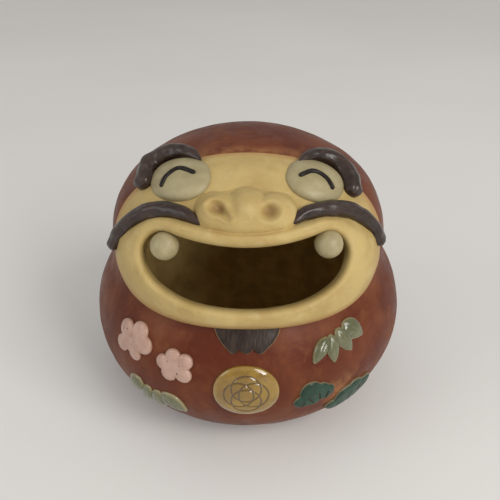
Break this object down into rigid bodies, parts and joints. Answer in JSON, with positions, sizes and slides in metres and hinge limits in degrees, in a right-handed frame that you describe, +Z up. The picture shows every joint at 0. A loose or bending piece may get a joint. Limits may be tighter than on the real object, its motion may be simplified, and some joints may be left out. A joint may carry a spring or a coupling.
{
  "type": "daruma doll",
  "caption": "Hollow round-bottomed daruma figure whose wide open laughing mouth leads into one cavity, with a flat foot to stand on.",
  "frame": {"origin": "middle of the flat foot, on the surface the doll stands on", "axes": "+Z up from the foot, the face looks along -Y, +X to the viewer's right"},
  "size_m": [0.2198, 0.2233, 0.192],
  "materials": {
    "brown_slip": "satin-matt iron slip",
    "bare_buff_clay": "matt unglazed",
    "pale_slip": "matt pale slip",
    "black_glaze": "gloss",
    "dark_slip": "semi-gloss",
    "charcoal_slip": "matt brushed",
    "amber_glaze": "gloss",
    "pink_slip": "matt",
    "celadon_glaze": "soft gloss",
    "teal_slip": "satin"
  },
  "bodies": {
    "root": {"bamboo_left_leaf_1": "celadon_glaze", "bamboo_left_leaf_2": "celadon_glaze", "bamboo_left_leaf_3": "celadon_glaze", "bamboo_left_leaf_4": "celadon_glaze", "bamboo_right_leaf_1": "celadon_glaze", "bamboo_right_leaf_2": "celadon_glaze", "bamboo_right_leaf_3": "celadon_glaze", "bamboo_right_leaf_4": "celadon_glaze", "blossom_lower": "pink_slip", "blossom_upper": "pink_slip", "body_shell": "brown_slip", "brow_left": "dark_slip", "brow_right": "dark_slip", "eye_left": "pale_slip", "eye_right": "pale_slip", "face_slab": "bare_buff_clay", "goatee": "charcoal_slip", "lip_coil": "bare_buff_clay", "medallion": "amber_glaze", "moustache_left": "dark_slip", "moustache_right": "dark_slip", "nose": "bare_buff_clay", "pine_inner": "teal_slip", "pine_outer": "teal_slip", "smile_line_left": "black_glaze", "smile_line_right": "black_glaze", "tooth_left": "pale_slip", "tooth_right": "pale_slip"}
  },
  "joints": []
}
